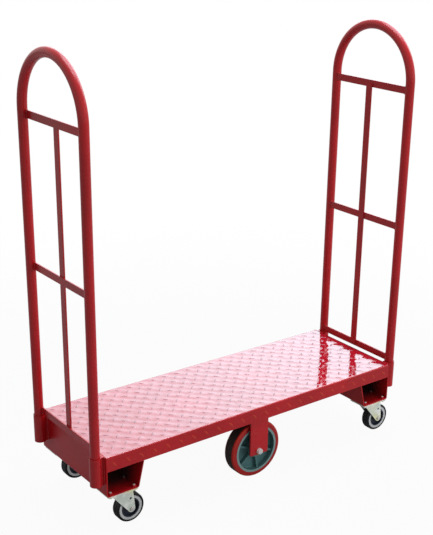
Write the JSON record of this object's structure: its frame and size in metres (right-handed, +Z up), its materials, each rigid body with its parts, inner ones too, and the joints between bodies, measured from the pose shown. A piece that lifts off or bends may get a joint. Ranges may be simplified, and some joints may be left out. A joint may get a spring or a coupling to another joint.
{
  "type": "u-boat platform truck",
  "caption": "Long narrow tread-plate deck on side load wheels and end swivel casters, with a tall lift-out tube hoop at each end.",
  "frame": {"origin": "on the floor, under the centre of the deck", "axes": "+X along the deck to the right end, +Y across it to the far side, +Z up"},
  "size_m": [1.313, 0.431, 1.4987],
  "materials": {
    "red_paint": "gloss red enamel over steel sheet and tube",
    "red_polyurethane": "satin cast polyurethane, darker on the tread",
    "hub_grey": "satin blue-grey paint",
    "zinc": "bright zinc plate with a faint yellow-green tint",
    "bright_steel": "bright steel",
    "bronze": "oil-filled bronze",
    "black_rubber": "matt black rubber",
    "light_rim": "light grey moulded rim ring",
    "dark_hub": "dark navy moulded hub"
  },
  "bodies": {
    "truck": {"deck_plate": "red_paint", "left_end_channel": "red_paint", "near_left_socket": "red_paint", "far_left_socket": "red_paint", "right_end_channel": "red_paint", "near_right_socket": "red_paint", "far_right_socket": "red_paint", "near_load_fork": "red_paint", "near_load_axle": "bright_steel", "near_load_sleeve": "bright_steel", "far_load_fork": "red_paint", "far_load_axle": "bright_steel", "far_load_sleeve": "bright_steel", "caster_balls": "bright_steel", "caster_bolts": "zinc", "caster_nuts": "zinc", "near_left_caster_plate": "zinc", "near_left_caster_king_pin": "zinc", "far_left_caster_plate": "zinc", "far_left_caster_king_pin": "zinc", "near_right_caster_plate": "zinc", "near_right_caster_king_pin": "zinc", "far_right_caster_plate": "zinc", "far_right_caster_king_pin": "zinc"},
    "left_stanchion": {"left_hoop": "red_paint", "left_upper_rail": "red_paint", "left_middle_rail": "red_paint", "left_lower_rail": "red_paint", "left_slat": "red_paint"},
    "right_stanchion": {"right_hoop": "red_paint", "right_upper_rail": "red_paint", "right_middle_rail": "red_paint", "right_lower_rail": "red_paint", "right_slat": "red_paint"},
    "near_load_wheel": {"near_load_hub": "hub_grey", "near_load_bushes": "bronze", "near_load_tyre": "red_polyurethane"},
    "far_load_wheel": {"far_load_hub": "hub_grey", "far_load_bushes": "bronze", "far_load_tyre": "red_polyurethane"},
    "near_left_caster_swivel": {"near_left_caster_fork": "zinc", "near_left_caster_axle": "zinc"},
    "near_left_caster_wheel": {"near_left_caster_hub": "dark_hub", "near_left_caster_rim": "light_rim", "near_left_caster_tyre": "black_rubber"},
    "far_left_caster_swivel": {"far_left_caster_fork": "zinc", "far_left_caster_axle": "zinc"},
    "far_left_caster_wheel": {"far_left_caster_hub": "dark_hub", "far_left_caster_rim": "light_rim", "far_left_caster_tyre": "black_rubber"},
    "near_right_caster_swivel": {"near_right_caster_fork": "zinc", "near_right_caster_axle": "zinc"},
    "near_right_caster_wheel": {"near_right_caster_hub": "dark_hub", "near_right_caster_rim": "light_rim", "near_right_caster_tyre": "black_rubber"},
    "far_right_caster_swivel": {"far_right_caster_fork": "zinc", "far_right_caster_axle": "zinc"},
    "far_right_caster_wheel": {"far_right_caster_hub": "dark_hub", "far_right_caster_rim": "light_rim", "far_right_caster_tyre": "black_rubber"}
  },
  "joints": [
    {"name": "left_stanchion_lift", "type": "slide", "parent": "truck", "child": "left_stanchion", "axis": [0, 0, 1], "range_m": [0, 0.13]},
    {"name": "right_stanchion_lift", "type": "slide", "parent": "truck", "child": "right_stanchion", "axis": [0, 0, 1], "range_m": [0, 0.13]},
    {"name": "near_load_wheel_spin", "type": "hinge", "parent": "truck", "child": "near_load_wheel", "pos_m": [0, -0.166, 0.104], "axis": [0, 1, 0], "continuous": true},
    {"name": "far_load_wheel_spin", "type": "hinge", "parent": "truck", "child": "far_load_wheel", "pos_m": [0, 0.166, 0.104], "axis": [0, 1, 0], "continuous": true},
    {"name": "near_left_caster_swivel_turn", "type": "hinge", "parent": "truck", "child": "near_left_caster_swivel", "pos_m": [-0.5526, -0.1703, 0.132], "axis": [0, 0, 1], "continuous": true},
    {"name": "near_left_caster_wheel_spin", "type": "hinge", "parent": "near_left_caster_swivel", "child": "near_left_caster_wheel", "pos_m": [-0.5131, -0.1703, 0.051], "axis": [0, 1, 0], "continuous": true},
    {"name": "far_left_caster_swivel_turn", "type": "hinge", "parent": "truck", "child": "far_left_caster_swivel", "pos_m": [-0.5526, 0.1703, 0.132], "axis": [0, 0, 1], "continuous": true},
    {"name": "far_left_caster_wheel_spin", "type": "hinge", "parent": "far_left_caster_swivel", "child": "far_left_caster_wheel", "pos_m": [-0.5131, 0.1703, 0.051], "axis": [0, 1, 0], "continuous": true},
    {"name": "near_right_caster_swivel_turn", "type": "hinge", "parent": "truck", "child": "near_right_caster_swivel", "pos_m": [0.5526, -0.1703, 0.132], "axis": [0, 0, 1], "continuous": true},
    {"name": "near_right_caster_wheel_spin", "type": "hinge", "parent": "near_right_caster_swivel", "child": "near_right_caster_wheel", "pos_m": [0.5921, -0.1703, 0.051], "axis": [0, 1, 0], "continuous": true},
    {"name": "far_right_caster_swivel_turn", "type": "hinge", "parent": "truck", "child": "far_right_caster_swivel", "pos_m": [0.5526, 0.1703, 0.132], "axis": [0, 0, 1], "continuous": true},
    {"name": "far_right_caster_wheel_spin", "type": "hinge", "parent": "far_right_caster_swivel", "child": "far_right_caster_wheel", "pos_m": [0.5921, 0.1703, 0.051], "axis": [0, 1, 0], "continuous": true}
  ]
}
